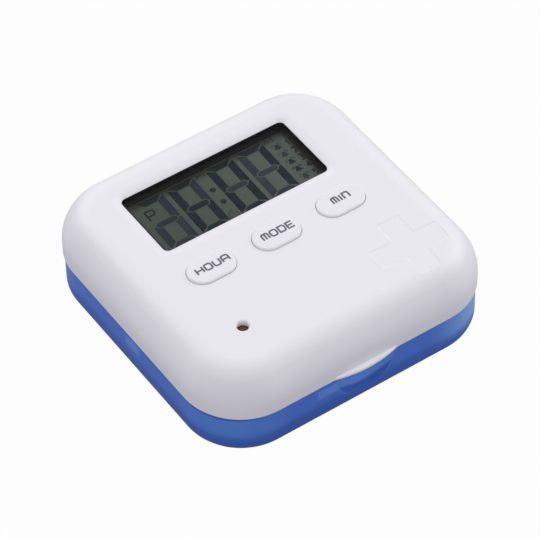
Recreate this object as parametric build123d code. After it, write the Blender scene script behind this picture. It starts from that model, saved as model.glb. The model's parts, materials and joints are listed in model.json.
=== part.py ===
from build123d import *
import math
import os

# Electronic pill box: a blue tray of four compartments under a hinged white lid.
# The lid holds a clock with a display, three push buttons, an alarm light,
# a buzzer and a coin cell. Millimetres, +Z up, +Y to the hinge at the back,
# origin at the middle of the flat underside.

# Outline of the closed box in plan
BODY_W = 86.0
BODY_D = 85.0
BODY_R = 17.0

# Tray
TRAY_H = 13.75
TRAY_INSET = 0.4
TRAY_WALL = 1.6
TRAY_FLOOR = 1.6
TRAY_FOOT_R = 4.2
TRAY_INNER_R = 2.6
TRAY_RIM_R = 0.3
DIVIDER_T = 1.2
DIVIDER_DROP = 0.4
SCOOP_W = 17.0
SCOOP_DEPTH = 3.2
SCOOP_DROP = 0.7

# Lid shell
LID_GAP = 0.1
LID_H = 13.35
LID_WALL = 1.8
LID_CEILING = 1.8
LID_EDGE_W = 8.4
LID_EDGE_H = 10.3
LID_EDGE_R = 7.2
LID_RIM_R = 0.3
LIP_CHORD = 19.2
LIP_REACH = 1.45
LIP_T = 1.05
LIP_EDGE_R = 0.25

# Display window in the lid
WINDOW_W = 50.2
WINDOW_D = 21.8
WINDOW_X = -0.6
WINDOW_Y = 18.6
WINDOW_R = 1.6
WINDOW_RIM_W = 2.8
WINDOW_RIM_H = 0.9

# Recessed cross
CROSS_SIZE = 20.4
CROSS_ARM = 6.9
CROSS_X = 25.2
CROSS_Y = -26.0
CROSS_TURN = -2.0
CROSS_DEPTH = 0.15
CROSS_SLOPE = 68.0

# Display lens, liquid crystal panel and its frame
LENS_FLANGE = 2.6
LENS_FLANGE_T = 0.8
LENS_SINK = 0.05
LENS_CLEAR = 0.1
FRAME_GAP = 0.1
FRAME_LIP_T = 0.3
FRAME_WALL = 1.2
FRAME_COVER = 1.2
GLASS_BORDER = 1.9
GLASS_T = 0.7
GLASS_CLEAR = 0.15
GLASS_LEDGE = 2.5
POLARISER_T = 0.2
PANEL_STANDOFF = 1.0
ZEBRA_W = 1.8
ZEBRA_INSET = 3.0
PAD_W = 3.0
PAD_EDGE = 1.2

# Circuit board
BOARD_BOSS_CLEAR = 0.5
BOARD_T = 1.0
BOARD_FRONT = -29.5
BOARD_BACK = 34.0
BOARD_R = 2.0
BOARD_SCREW_EDGE = 2.5
BOARD_SCREW_REAR_Y = 2.0
BOARD_SCREW_FRONT_Y = -26.7
BOARD_BOSS_R = 2.1
BOARD_SCREW_R = 0.85
BOARD_HEAD_R = 1.5
BOARD_HEAD_T = 1.0
BOARD_SCREW_BITE = 2.6

# Inner cover of the lid, and the screws that hold it
COVER_RISE = 0.55
COVER_T = 1.4
COVER_CLEAR = 0.15
LID_BOSS_EDGE_X = 9.0
LID_BOSS_EDGE_Y = 10.5
LID_BOSS_R = 2.5
LID_SCREW_R = 1.0
LID_HEAD_R = 1.9
LID_HEAD_T = 0.9
LID_SCREW_BITE = 4.5
THREAD_CLEAR = 0.05
HOLE_CLEAR = 0.15
SLOT_T = 0.5
SLOT_DEPTH = 0.45

# Tabs of the inner cover that reach down inside the tray
TAB_W = 5.8
TAB_T = 1.2
TAB_REACH = 4.05
TAB_CLEAR = 0.4
FRONT_TAB_X = -11.7
SIDE_TAB_Y = -1.4
TAB_BEAD_R = 0.2
NOTCH_CLEAR = 0.5

# Hinge
HINGE_BACK = 1.9
HINGE_X = 18.0
KNUCKLE_R = 2.4
KNUCKLE_W = 8.0
EAR_W = 4.0
EAR_DROP = 5.8
EAR_CHAMFER = 1.7
HINGE_SIDE_GAP = 0.2
HINGE_RADIAL_GAP = 0.3
PIN_R = 0.8
PIN_CLEAR_EAR = 0.02
PIN_CLEAR_KNUCKLE = 0.05
PIN_END_INSET = 0.2
HEEL_R = 0.55
HEEL_REACH = 2.8
HEEL_ANGLE = -16.0

# Push buttons
BUTTON_L = 13.5
BUTTON_W = 8.3
BUTTON_PITCH = 19.75
BUTTON_Y = -3.8
BUTTON_GAP = 0.1
BUTTON_RISE = 0.55
BUTTON_EDGE_R = 0.5
BUTTON_HOLE_R = 0.12
BUTTON_FLANGE = 0.9
BUTTON_FLANGE_T = 0.8
BUTTON_FLANGE_GAP = 0.1
BUTTON_WALL = 1.3
BUTTON_TOP_T = 1.3
PLUNGER_R = 2.0
BUTTON_TRAVEL = 0.7

# Silicone domes under the buttons, with carbon pills that close the contacts
DOME_H = 2.4
DOME_FOOT_R = 4.4
DOME_FOOT_T = 0.6
DOME_SHOULDER_R = 3.4
DOME_TOP_R = 2.5
DOME_TOP_T = 0.7
DOME_WALL = 0.5
PILL_R = 1.6
KEY_PAD_R = 2.2
KEY_PAD_T = 0.05
KEY_PAD_GAP = 0.05

# Alarm light
LED_EDGE_X = 18.8
LED_EDGE_Y = 18.3
LED_R = 1.5
LED_H = 4.4
LED_TOP_EDGE_R = 0.5
LED_FLANGE_R = 1.9
LED_FLANGE_T = 0.9
LED_HOLE_R = 1.6
LED_HOLE_CHAMFER = 0.3
LED_LEG_T = 0.45
LED_LEG_PITCH = 1.27
LED_LEG_DROP = 0.8
LED_LEG_HOLE_R = 0.45

# Coin cell, its well, and the bayonet door under it
CELL_X = 16.5
CELL_Y = -17.0
CELL_R = 10.0
CELL_T = 3.2
CELL_CAP_R = 8.8
CELL_CAP_T = 0.3
CELL_CLEAR = 0.2
WELL_CLEAR = 0.3
WELL_T = 1.2
WELL_RIB_SPREAD = 8.0
WELL_RIB_TURN = 45.0
WELL_RIBS = 4
DOOR_FLANGE_R = 12.4
DOOR_FLANGE_T = 0.8
DOOR_HUB_R = 10.3
DOOR_HUB_T = 1.1
DOOR_CLEAR = 0.2
DOOR_LUG_REACH = 1.1
DOOR_LUG_T = 0.45
DOOR_LUG_GAP = 0.08
DOOR_LUG_ANGLE = 26.0
DOOR_LUGS = 3
DOOR_TURN = 40.0
DOOR_NOTCH_CLEAR = 2.5
COIN_SLOT_L = 14.0
COIN_SLOT_W = 1.8
COIN_SLOT_DEPTH = 0.9
CONTACT_T = 0.3
CONTACT_L = 10.0
CONTACT_W = 5.0
CONTACT_DIMPLE_R = 1.5
SIDE_CONTACT_GAP = 0.05
SIDE_CONTACT_W = 4.0
SIDE_CONTACT_DROP = 2.6
SIDE_CONTACT_FOOT = 4.0

# Buzzer
PIEZO_X = -15.5
PIEZO_Y = -12.0
PIEZO_R = 10.0
PIEZO_T = 0.25
CERAMIC_R = 7.0
CERAMIC_T = 0.2
PIEZO_RING_H = 1.2
PIEZO_RING_T = 1.7
PIEZO_RIM_CLEAR = 0.2
PIEZO_RIM_H = 0.4
SOUND_HOLE_R = 0.8
SOUND_RING_R = 4.0
SOUND_HOLES = 6
LEAD_R = 0.35
LEAD_RISE = 1.2
LEAD_BEND_R = 0.7
LEAD_SPREAD = 4.0

# Small electronic components under the board
CHIP_X = -1.0
CHIP_Y = 19.0
CHIP_R = 5.0
CHIP_H = 1.3
CRYSTAL_X = 13.0
CRYSTAL_Y = 24.0
CRYSTAL_R = 1.0
CRYSTAL_L = 6.0
CRYSTAL_GAP = 0.02
CRYSTAL_LEG_R = 0.15
CRYSTAL_LEG_L = 1.4
COIL_X = -19.0
COIL_Y = 10.0
COIL_R = 2.6
COIL_H = 3.0
CHIP_PART_L = 2.0
CHIP_PART_W = 1.25
RESISTOR_T = 0.5
CAPACITOR_T = 0.8
TRANSISTOR_L = 2.9
TRANSISTOR_W = 1.3
TRANSISTOR_T = 1.0
RESISTOR_PLACES = [(-12, 27), (-12, 23), (8, 12), (12, 12), (16, 12), (20, 12)]
CAPACITOR_PLACES = [(19, 24), (23, 24), (-8, 9), (-12, 15)]
TRANSISTOR_PLACES = [(-13, 5), (22, 6)]

# Heights that follow from the sizes above
LID_Z = TRAY_H + LID_GAP
TOP_Z = LID_Z + LID_H
CEILING_Z = TOP_Z - LID_CEILING
LENS_TOP_Z = TOP_Z - WINDOW_RIM_H - LENS_SINK
LENS_Z = CEILING_Z - LENS_FLANGE_T
FRAME_Z = LENS_Z - FRAME_GAP
PANEL_Z = FRAME_Z - FRAME_LIP_T
FRONT_GLASS_Z = PANEL_Z - POLARISER_T
REAR_GLASS_Z = FRONT_GLASS_Z - GLASS_T
REFLECTOR_Z = REAR_GLASS_Z - GLASS_T
BOARD_Z = REFLECTOR_Z - POLARISER_T - PANEL_STANDOFF
BOARD_UNDER_Z = BOARD_Z - BOARD_T
COVER_Z = LID_Z + COVER_RISE
COVER_TOP_Z = COVER_Z + COVER_T
DOOR_LEDGE_Z = COVER_Z + DOOR_FLANGE_T
CELL_Z = DOOR_LEDGE_Z + DOOR_HUB_T + GLASS_CLEAR
CELL_TOP_Z = CELL_Z + CELL_T
PIEZO_Z = COVER_TOP_Z + PIEZO_RING_H
PLUNGER_Z = BOARD_Z + DOME_H

# Widths that follow
TRAY_W = BODY_W - 2 * TRAY_INSET
TRAY_D = BODY_D - 2 * TRAY_INSET
TRAY_R = BODY_R - TRAY_INSET
TRAY_IN_W = TRAY_W - 2 * TRAY_WALL
TRAY_IN_D = TRAY_D - 2 * TRAY_WALL
GLASS_W = WINDOW_W + 2 * GLASS_BORDER
GLASS_D = WINDOW_D + 2 * GLASS_BORDER
HINGE_Y = BODY_D / 2 + HINGE_BACK
HINGE_Z = TRAY_H
WELL_R = DOOR_HUB_R + DOOR_LUG_REACH + WELL_CLEAR
LED_X = LED_EDGE_X - BODY_W / 2
LED_Y = LED_EDGE_Y - BODY_D / 2
LID_BOSS_X = BODY_W / 2 - LID_BOSS_EDGE_X
LID_BOSS_Y = BODY_D / 2 - LID_BOSS_EDGE_Y
BOARD_W = 2 * (LID_BOSS_X - LID_BOSS_R - BOARD_BOSS_CLEAR)
BOARD_SCREW_X = BOARD_W / 2 - BOARD_SCREW_EDGE
BUTTON_NAMES = ["hour", "mode", "min"]
BUTTON_XS = [-BUTTON_PITCH, 0.0, BUTTON_PITCH]


def slab(width, depth, radius, low, high, x=0.0, y=0.0):
    """A rounded rectangle in plan, from height low to height high."""
    return Pos(x, y, low) * extrude(RectangleRounded(width, depth, radius), high - low)


def block(width, depth, low, high, x=0.0, y=0.0):
    """A plain rectangle in plan, from height low to height high."""
    return Pos(x, y, (low + high) / 2) * Box(width, depth, high - low)


def domed_slab(width, depth, radius, low, high, edge_w, edge_h, edge_r):
    """A rounded rectangle with a soft top edge, edge_w wide and edge_h high.

    The edge is two arcs that meet without a corner: edge_r at the top, and the
    larger radius that makes it tangent to the wall below.
    """
    plain = slab(width, depth, radius, low, high)
    path = Pos(0, 0, high) * RectangleRounded(width, depth, radius).wire()
    along = path % 0
    section = Plane(origin=path @ 0, x_dir=Vector(0, 0, 1).cross(along), z_dir=along)
    wall_r = (edge_w ** 2 + (edge_h - edge_r) ** 2 - edge_r ** 2) / (2 * (edge_w - edge_r))
    meet = math.degrees(math.atan2(edge_h - edge_r, edge_w - wall_r))
    cutaway = make_face(Wire([
        CenterArc((edge_w, -edge_r), edge_r, 90, meet - 90),
        CenterArc((wall_r, -edge_h), wall_r, meet, 180 - meet),
        Line((0, -edge_h), (-1, -edge_h)),
        Line((-1, -edge_h), (-1, 1)),
        Line((-1, 1), (edge_w, 1)),
        Line((edge_w, 1), (edge_w, 0)),
    ]))
    return plain - sweep(section * cutaway, path=path)


def rim_cutter(width, depth, radius, high, rim_w, rim_h, x=0.0, y=0.0):
    """What rounds off the rim of an opening: an arc, flat at its outer end, falling rim_h over rim_w."""
    path = Pos(x, y, high) * RectangleRounded(width, depth, radius).wire()
    along = path % 0
    section = Plane(origin=path @ 0, x_dir=Vector(0, 0, 1).cross(along), z_dir=along)
    arc_r = (rim_w ** 2 + rim_h ** 2) / (2 * rim_h)
    steep = math.degrees(2 * math.atan2(rim_h, rim_w))
    inside = radius / 8
    cutaway = make_face(Wire([
        CenterArc((-rim_w, -arc_r), arc_r, 90, -steep),
        Line((0, -rim_h), (inside, -rim_h)),
        Line((inside, -rim_h), (inside, rim_h)),
        Line((inside, rim_h), (-rim_w, rim_h)),
        Line((-rim_w, rim_h), (-rim_w, 0)),
    ]))
    return sweep(section * cutaway, path=path)


def disc(radius, low, high, x=0.0, y=0.0):
    """A round column from height low to height high."""
    return Pos(x, y, (low + high) / 2) * Cylinder(radius, high - low)


def slot_column(length, width, low, high, x=0.0, y=0.0):
    """A column with straight sides and round ends, from height low to height high."""
    return Pos(x, y, low) * extrude(SlotOverall(length, width), high - low)


def edges_at(shape, height, x, y, reach_x, reach_y):
    """The edges of shape that lie flat at one height and inside a box in plan."""
    found = shape.edges().filter_by_position(Axis.Z, height - 0.001, height + 0.001)
    found = found.filter_by_position(Axis.X, x - reach_x, x + reach_x)
    return found.filter_by_position(Axis.Y, y - reach_y, y + reach_y)


def arc_block(inner, outer, low, high, middle, spread, x=0.0, y=0.0):
    """A stretch of a ring, spread degrees wide about the direction middle."""
    start = math.radians(middle - spread / 2)
    turn = math.radians(spread)
    points = []
    for radius, angle in ((inner, start), (outer, start), (outer, start + turn), (inner, start + turn)):
        points.append((radius * math.cos(angle), radius * math.sin(angle)))
    half = start + turn / 2
    outside = (outer * math.cos(half), outer * math.sin(half))
    inside = (inner * math.cos(half), inner * math.sin(half))
    outline = Wire([
        Line(points[0], points[1]),
        ThreePointArc(points[1], outside, points[2]),
        Line(points[2], points[3]),
        ThreePointArc(points[3], inside, points[0]),
    ])
    return Pos(x, y, low) * extrude(make_face(outline), high - low)


def bar_along_x(profile, start, end):
    """A flat outline given in Y and Z, extruded along X from start to end."""
    return extrude(Plane.YZ.offset(start) * profile, end - start)


def hinge_stations():
    """For each hinge: the knuckle's start and end in X."""
    return [(side * HINGE_X - KNUCKLE_W / 2, side * HINGE_X + KNUCKLE_W / 2) for side in (-1, 1)]


def barrel_profile(radius):
    """A circle about the hinge axis, in the YZ plane."""
    return Pos(HINGE_Y, HINGE_Z) * Circle(radius)


def hinge_sweep(start, end):
    """The space that a barrel of the other half turns in, from start to end in X."""
    return bar_along_x(barrel_profile(KNUCKLE_R + HINGE_RADIAL_GAP), start, end)


def make_tray():
    outer = slab(TRAY_W, TRAY_D, TRAY_R, 0, TRAY_H)
    outer = fillet(outer.edges().group_by(Axis.Z)[0], TRAY_FOOT_R)
    outer = fillet(outer.edges().group_by(Axis.Z)[-1], TRAY_RIM_R)
    room = slab(TRAY_IN_W, TRAY_IN_D, TRAY_R - TRAY_WALL, TRAY_FLOOR, TRAY_H)
    room = fillet(room.edges().group_by(Axis.Z)[0], TRAY_INNER_R)
    tray = outer - room

    # Two crossed dividers make four compartments, notched for the lid's side tabs
    divider_top = TRAY_H - DIVIDER_DROP
    dividers = block(TRAY_IN_W + TRAY_WALL, DIVIDER_T, TRAY_FLOOR / 2, divider_top)
    dividers += block(DIVIDER_T, TRAY_IN_D + TRAY_WALL, TRAY_FLOOR / 2, divider_top)
    notch_low = TRAY_H - TAB_REACH - NOTCH_CLEAR
    notch_depth = TAB_CLEAR + TAB_T + NOTCH_CLEAR
    for side in (-1, 1):
        middle = side * (TRAY_IN_W - notch_depth) / 2
        dividers -= block(notch_depth, 2 * DIVIDER_T, notch_low, TRAY_H, x=middle)

    # A ball pressed into the front wall makes the finger scoop
    ball_r = ((SCOOP_W / 2) ** 2 + SCOOP_DEPTH ** 2) / (2 * SCOOP_DEPTH)
    ball_place = Pos(0, -TRAY_D / 2 + SCOOP_DEPTH - ball_r, TRAY_H - SCOOP_DROP)
    bulge = ball_place * Sphere(ball_r + TRAY_WALL)
    core_r = TRAY_R - TRAY_WALL / 2
    core = slab(TRAY_IN_W + TRAY_WALL, TRAY_IN_D + TRAY_WALL, core_r, TRAY_FLOOR / 2, TRAY_H)
    core = fillet(core.edges().group_by(Axis.Z)[0], TRAY_FOOT_R - TRAY_WALL / 2)
    tray += dividers & core
    tray += bulge & core
    tray -= ball_place * Sphere(ball_r)

    # Ears that hold the hinge pins, on either side of each knuckle of the lid
    wall_in = TRAY_D / 2 - TRAY_WALL / 2
    foot_y = TRAY_D / 2
    gusset = make_face(Polyline(
        (wall_in, HINGE_Z),
        (HINGE_Y, HINGE_Z),
        (HINGE_Y + EAR_CHAMFER, HINGE_Z - EAR_CHAMFER),
        (foot_y, HINGE_Z - EAR_DROP),
        (wall_in, HINGE_Z - EAR_DROP),
        close=True,
    ))
    ear = gusset + barrel_profile(KNUCKLE_R)
    for start, end in hinge_stations():
        tray -= hinge_sweep(start - HINGE_SIDE_GAP, end + HINGE_SIDE_GAP)
        for edge in (start - HINGE_SIDE_GAP - EAR_W, end + HINGE_SIDE_GAP):
            tray += bar_along_x(ear, edge, edge + EAR_W)
        bore = barrel_profile(PIN_R + PIN_CLEAR_EAR)
        tray -= bar_along_x(bore, start - 2 * EAR_W, end + 2 * EAR_W)
    return tray


def make_hinge_pin(side):
    start, end = hinge_stations()[side]
    reach = HINGE_SIDE_GAP + EAR_W - PIN_END_INSET
    return bar_along_x(barrel_profile(PIN_R), start - reach, end + reach)


def cross_outline():
    """The outline of a cross with four equal arms."""
    sketch = Rectangle(CROSS_SIZE, CROSS_ARM) + Rectangle(CROSS_ARM, CROSS_SIZE)
    return Pos(CROSS_X, CROSS_Y) * Rot(0, 0, CROSS_TURN) * sketch


def make_lid_shell():
    outer = domed_slab(BODY_W, BODY_D, BODY_R, LID_Z, TOP_Z, LID_EDGE_W, LID_EDGE_H, LID_EDGE_R)
    outer = fillet(outer.edges().group_by(Axis.Z)[0], LID_RIM_R)
    room = domed_slab(
        BODY_W - 2 * LID_WALL, BODY_D - 2 * LID_WALL, BODY_R - LID_WALL, LID_Z, CEILING_Z,
        LID_EDGE_W - LID_WALL, LID_EDGE_H - LID_CEILING, LID_EDGE_R - LID_WALL,
    )
    shell = outer - room

    # Display window with a wide, shallow, rounded rim
    shell -= slab(WINDOW_W, WINDOW_D, WINDOW_R, CEILING_Z, TOP_Z, WINDOW_X, WINDOW_Y)
    shell -= rim_cutter(
        WINDOW_W, WINDOW_D, WINDOW_R, TOP_Z, WINDOW_RIM_W, WINDOW_RIM_H, WINDOW_X, WINDOW_Y,
    )

    # Button openings
    hole_l = BUTTON_L + 2 * BUTTON_GAP
    hole_w = BUTTON_W + 2 * BUTTON_GAP
    for x in BUTTON_XS:
        shell -= slot_column(hole_l, hole_w, CEILING_Z, TOP_Z, x, BUTTON_Y)
        rim = edges_at(shell, TOP_Z, x, BUTTON_Y, hole_l / 2 + 0.1, hole_w / 2 + 0.1)
        shell = fillet(rim, BUTTON_HOLE_R)

    # Light hole with a small chamfer
    shell -= disc(LED_HOLE_R, CEILING_Z, TOP_Z, LED_X, LED_Y)
    rim = edges_at(shell, TOP_Z, LED_X, LED_Y, LED_HOLE_R + 0.1, LED_HOLE_R + 0.1)
    shell = chamfer(rim, LED_HOLE_CHAMFER)

    # Recessed cross with sloping sides
    top_face = Pos(0, 0, TOP_Z) * cross_outline()
    column = extrude(top_face, 2 * CROSS_DEPTH, dir=(0, 0, -1), taper=CROSS_SLOPE)
    shell -= column - Pos(0, 0, -CROSS_DEPTH) * outer

    # Bosses for the cover's screws and the board's screws
    inside = outer & slab(BODY_W - LID_WALL, BODY_D - LID_WALL, BODY_R - LID_WALL / 2, LID_Z, TOP_Z - LID_CEILING / 2)
    bosses = []
    for x in (-LID_BOSS_X, LID_BOSS_X):
        for y in (-LID_BOSS_Y, LID_BOSS_Y):
            boss = disc(LID_BOSS_R, COVER_TOP_Z, TOP_Z, x, y)
            hole = disc(LID_SCREW_R + THREAD_CLEAR, LID_Z, COVER_TOP_Z + LID_SCREW_BITE + HOLE_CLEAR, x, y)
            bosses.append(boss - hole)
    for x, y in board_screw_places():
        boss = disc(BOARD_BOSS_R, BOARD_Z, TOP_Z, x, y)
        hole = disc(BOARD_SCREW_R + THREAD_CLEAR, LID_Z, BOARD_Z + BOARD_SCREW_BITE + HOLE_CLEAR, x, y)
        bosses.append(boss - hole)
    for boss in bosses:
        shell += boss & inside

    # Finger lip: a shallow segment of a circle in plan, over the scoop
    lip_r = ((LIP_CHORD / 2) ** 2 + LIP_REACH ** 2) / (2 * LIP_REACH)
    lip = disc(lip_r, LID_Z, LID_Z + LIP_T, y=-BODY_D / 2 - LIP_REACH + lip_r)
    lip = fillet(lip.edges(), LIP_EDGE_R)
    front = block(BODY_W, 2 * LIP_REACH + LID_WALL, LID_Z, LID_Z + LIP_T, y=-BODY_D / 2 - LIP_REACH)
    shell += lip & front

    # Knuckles on the back wall, each with a heel that stops the lid when it is open
    wall_in = BODY_D / 2 - LID_WALL / 2
    web = make_face(Polyline(
        (wall_in, LID_Z),
        (HINGE_Y, LID_Z),
        (HINGE_Y + EAR_CHAMFER, LID_Z + EAR_CHAMFER),
        (BODY_D / 2, LID_Z + EAR_DROP),
        (wall_in, LID_Z + EAR_DROP),
        close=True,
    ))
    heel_turn = math.radians(HEEL_ANGLE)
    heel_y = HINGE_Y + HEEL_REACH * math.cos(heel_turn)
    heel_z = HINGE_Z + HEEL_REACH * math.sin(heel_turn)
    knuckle = web + barrel_profile(KNUCKLE_R) + Pos(heel_y, heel_z) * Circle(HEEL_R)
    for start, end in hinge_stations():
        for edge in (start - 2 * HINGE_SIDE_GAP - EAR_W, end):
            shell -= hinge_sweep(edge, edge + 2 * HINGE_SIDE_GAP + EAR_W)
        shell += bar_along_x(knuckle, start, end)
        shell -= bar_along_x(barrel_profile(PIN_R + PIN_CLEAR_KNUCKLE), start, end)
    return shell


def board_screw_places():
    """Where the four board screws stand in plan."""
    return [(x, y) for x in (-BOARD_SCREW_X, BOARD_SCREW_X) for y in (BOARD_SCREW_FRONT_Y, BOARD_SCREW_REAR_Y)]


def lid_screw_places():
    """Where the four cover screws stand in plan."""
    return [(x, y) for x in (-LID_BOSS_X, LID_BOSS_X) for y in (-LID_BOSS_Y, LID_BOSS_Y)]


def make_inner_cover():
    cut = LID_WALL + COVER_CLEAR
    cover = slab(BODY_W - 2 * cut, BODY_D - 2 * cut, BODY_R - cut, COVER_Z, COVER_TOP_Z)

    # Countersunk screw holes
    for x, y in lid_screw_places():
        cover -= disc(LID_SCREW_R + HOLE_CLEAR, COVER_Z, COVER_TOP_Z, x, y)
        sink = Cone(LID_HEAD_R + HOLE_CLEAR, LID_SCREW_R + HOLE_CLEAR, LID_HEAD_T)
        cover -= Pos(x, y, COVER_Z + LID_HEAD_T / 2) * sink

    # Well for the coin cell, with a stepped opening for the bayonet door
    cover += disc(WELL_R + WELL_T, COVER_Z, CELL_TOP_Z - CELL_CAP_T, CELL_X, CELL_Y)
    cover -= disc(WELL_R, COVER_TOP_Z, CELL_TOP_Z, CELL_X, CELL_Y)
    cover -= disc(DOOR_HUB_R + DOOR_CLEAR, COVER_Z, COVER_TOP_Z, CELL_X, CELL_Y)
    cover -= disc(DOOR_FLANGE_R + DOOR_CLEAR, COVER_Z, DOOR_LEDGE_Z, CELL_X, CELL_Y)
    rib_low = CELL_Z
    for number in range(WELL_RIBS):
        place = 360 / WELL_RIBS * number + WELL_RIB_TURN
        cover += arc_block(
            CELL_R + CELL_CLEAR, WELL_R + WELL_T / 2, rib_low, CELL_TOP_Z - CELL_CAP_T,
            place, WELL_RIB_SPREAD, CELL_X, CELL_Y,
        )
    for number in range(DOOR_LUGS):
        middle = 360 / DOOR_LUGS * number - DOOR_TURN
        notch_out = DOOR_HUB_R + DOOR_LUG_REACH + DOOR_CLEAR
        cover -= arc_block(
            DOOR_HUB_R - DOOR_CLEAR, notch_out, COVER_Z, COVER_TOP_Z,
            middle, DOOR_LUG_ANGLE + DOOR_NOTCH_CLEAR, CELL_X, CELL_Y,
        )

    # Seat ring and sound holes for the buzzer
    ring_out = PIEZO_R + PIEZO_RIM_CLEAR + PIEZO_RING_T / 2
    cover += disc(ring_out, COVER_Z, PIEZO_Z + PIEZO_RIM_H, PIEZO_X, PIEZO_Y)
    cover -= disc(PIEZO_R + PIEZO_RIM_CLEAR, PIEZO_Z, PIEZO_Z + PIEZO_RIM_H, PIEZO_X, PIEZO_Y)
    cover -= disc(PIEZO_R - PIEZO_RING_T / 2, COVER_TOP_Z, PIEZO_Z, PIEZO_X, PIEZO_Y)
    cover -= disc(SOUND_HOLE_R, COVER_Z, COVER_TOP_Z, PIEZO_X, PIEZO_Y)
    for number in range(SOUND_HOLES):
        turn = math.radians(360 / SOUND_HOLES * number)
        hole_x = PIEZO_X + SOUND_RING_R * math.cos(turn)
        hole_y = PIEZO_Y + SOUND_RING_R * math.sin(turn)
        cover -= disc(SOUND_HOLE_R, COVER_Z, COVER_TOP_Z, hole_x, hole_y)

    # One latch tab beside the finger scoop and a guide tab on each side
    tab_low = TRAY_H - TAB_REACH
    front_y = -TRAY_IN_D / 2 + TAB_CLEAR + TAB_T / 2
    tabs = block(TAB_W, TAB_T, tab_low, COVER_TOP_Z, x=FRONT_TAB_X, y=front_y)
    bead_y = -TRAY_IN_D / 2 + TAB_CLEAR
    bead = Rot(0, 90, 0) * Cylinder(TAB_BEAD_R, TAB_W / 2)
    tabs += Pos(FRONT_TAB_X, bead_y, tab_low + 3 * TAB_BEAD_R) * bead
    side_x = TRAY_IN_W / 2 - TAB_CLEAR - TAB_T / 2
    for x in (-side_x, side_x):
        tabs += block(TAB_T, TAB_W, tab_low, COVER_TOP_Z, x=x, y=SIDE_TAB_Y)
    return cover + tabs


def make_battery_door():
    door = disc(DOOR_FLANGE_R, COVER_Z, DOOR_LEDGE_Z, CELL_X, CELL_Y)
    hub_top = DOOR_LEDGE_Z + DOOR_HUB_T
    door += disc(DOOR_HUB_R, COVER_Z, hub_top, CELL_X, CELL_Y)
    lug_low = COVER_TOP_Z + DOOR_LUG_GAP
    for number in range(DOOR_LUGS):
        middle = 360 / DOOR_LUGS * number
        door += arc_block(
            DOOR_HUB_R - DOOR_CLEAR, DOOR_HUB_R + DOOR_LUG_REACH, lug_low, lug_low + DOOR_LUG_T,
            middle, DOOR_LUG_ANGLE, CELL_X, CELL_Y,
        )
    door -= slot_column(COIN_SLOT_L, COIN_SLOT_W, COVER_Z, COVER_Z + COIN_SLOT_DEPTH, CELL_X, CELL_Y)
    return door


def make_coin_cell():
    case = disc(CELL_R, CELL_Z, CELL_TOP_Z - CELL_CAP_T, CELL_X, CELL_Y)
    return case + disc(CELL_CAP_R, CELL_Z, CELL_TOP_Z, CELL_X, CELL_Y)


def make_negative_contact():
    plate = block(CONTACT_L, CONTACT_W, BOARD_UNDER_Z - CONTACT_T, BOARD_UNDER_Z, CELL_X, CELL_Y)
    return plate + disc(CONTACT_DIMPLE_R, CELL_TOP_Z, BOARD_UNDER_Z, CELL_X, CELL_Y)


def make_positive_contact():
    near = CELL_R + SIDE_CONTACT_GAP
    low = BOARD_UNDER_Z - SIDE_CONTACT_DROP
    middle = CELL_X + near + CONTACT_T / 2
    leaf = block(CONTACT_T, SIDE_CONTACT_W, low, BOARD_UNDER_Z, middle, CELL_Y)
    foot_x = CELL_X + near + SIDE_CONTACT_FOOT / 2
    return leaf + block(SIDE_CONTACT_FOOT, SIDE_CONTACT_W, BOARD_UNDER_Z - CONTACT_T, BOARD_UNDER_Z, foot_x, CELL_Y)


def make_display_lens():
    flange_w = WINDOW_W + 2 * LENS_FLANGE
    flange_d = WINDOW_D + 2 * LENS_FLANGE
    lens = slab(flange_w, flange_d, WINDOW_R, LENS_Z, CEILING_Z, WINDOW_X, WINDOW_Y)
    step_w = WINDOW_W - 2 * LENS_CLEAR
    step_d = WINDOW_D - 2 * LENS_CLEAR
    step_r = WINDOW_R - LENS_CLEAR
    return lens + slab(step_w, step_d, step_r, LENS_Z, LENS_TOP_Z, WINDOW_X, WINDOW_Y)


def make_front_polariser():
    return block(GLASS_W, GLASS_D, FRONT_GLASS_Z, PANEL_Z, WINDOW_X, WINDOW_Y)


def make_front_glass():
    return block(GLASS_W, GLASS_D, REAR_GLASS_Z, FRONT_GLASS_Z, WINDOW_X, WINDOW_Y)


def make_rear_glass():
    y = WINDOW_Y + GLASS_LEDGE / 2
    return block(GLASS_W, GLASS_D - GLASS_LEDGE, REFLECTOR_Z, REAR_GLASS_Z, WINDOW_X, y)


def make_reflector():
    y = WINDOW_Y + GLASS_LEDGE / 2
    return block(GLASS_W, GLASS_D - GLASS_LEDGE, REFLECTOR_Z - POLARISER_T, REFLECTOR_Z, WINDOW_X, y)


def make_panel_frame():
    outer_w = GLASS_W + 2 * (GLASS_CLEAR + FRAME_WALL)
    outer_d = GLASS_D + 2 * (GLASS_CLEAR + FRAME_WALL)
    frame = slab(outer_w, outer_d, FRAME_WALL, BOARD_Z, FRAME_Z, WINDOW_X, WINDOW_Y)
    frame -= block(
        GLASS_W + 2 * GLASS_CLEAR, GLASS_D + 2 * GLASS_CLEAR, BOARD_Z, PANEL_Z, WINDOW_X, WINDOW_Y
    )
    show_w = WINDOW_W - 2 * FRAME_COVER
    show_d = WINDOW_D - 2 * FRAME_COVER
    return frame - block(show_w, show_d, BOARD_Z, FRAME_Z, WINDOW_X, WINDOW_Y)


def make_zebra_connector():
    y = WINDOW_Y - GLASS_D / 2 + GLASS_LEDGE / 2
    return block(GLASS_W - 2 * ZEBRA_INSET, ZEBRA_W, BOARD_Z, REAR_GLASS_Z, WINDOW_X, y)


def make_foam_strip():
    y = WINDOW_Y + GLASS_D / 2 - PAD_EDGE - PAD_W / 2
    return block(GLASS_W - 2 * ZEBRA_INSET, PAD_W, BOARD_Z, REFLECTOR_Z - POLARISER_T, WINDOW_X, y)


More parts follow.
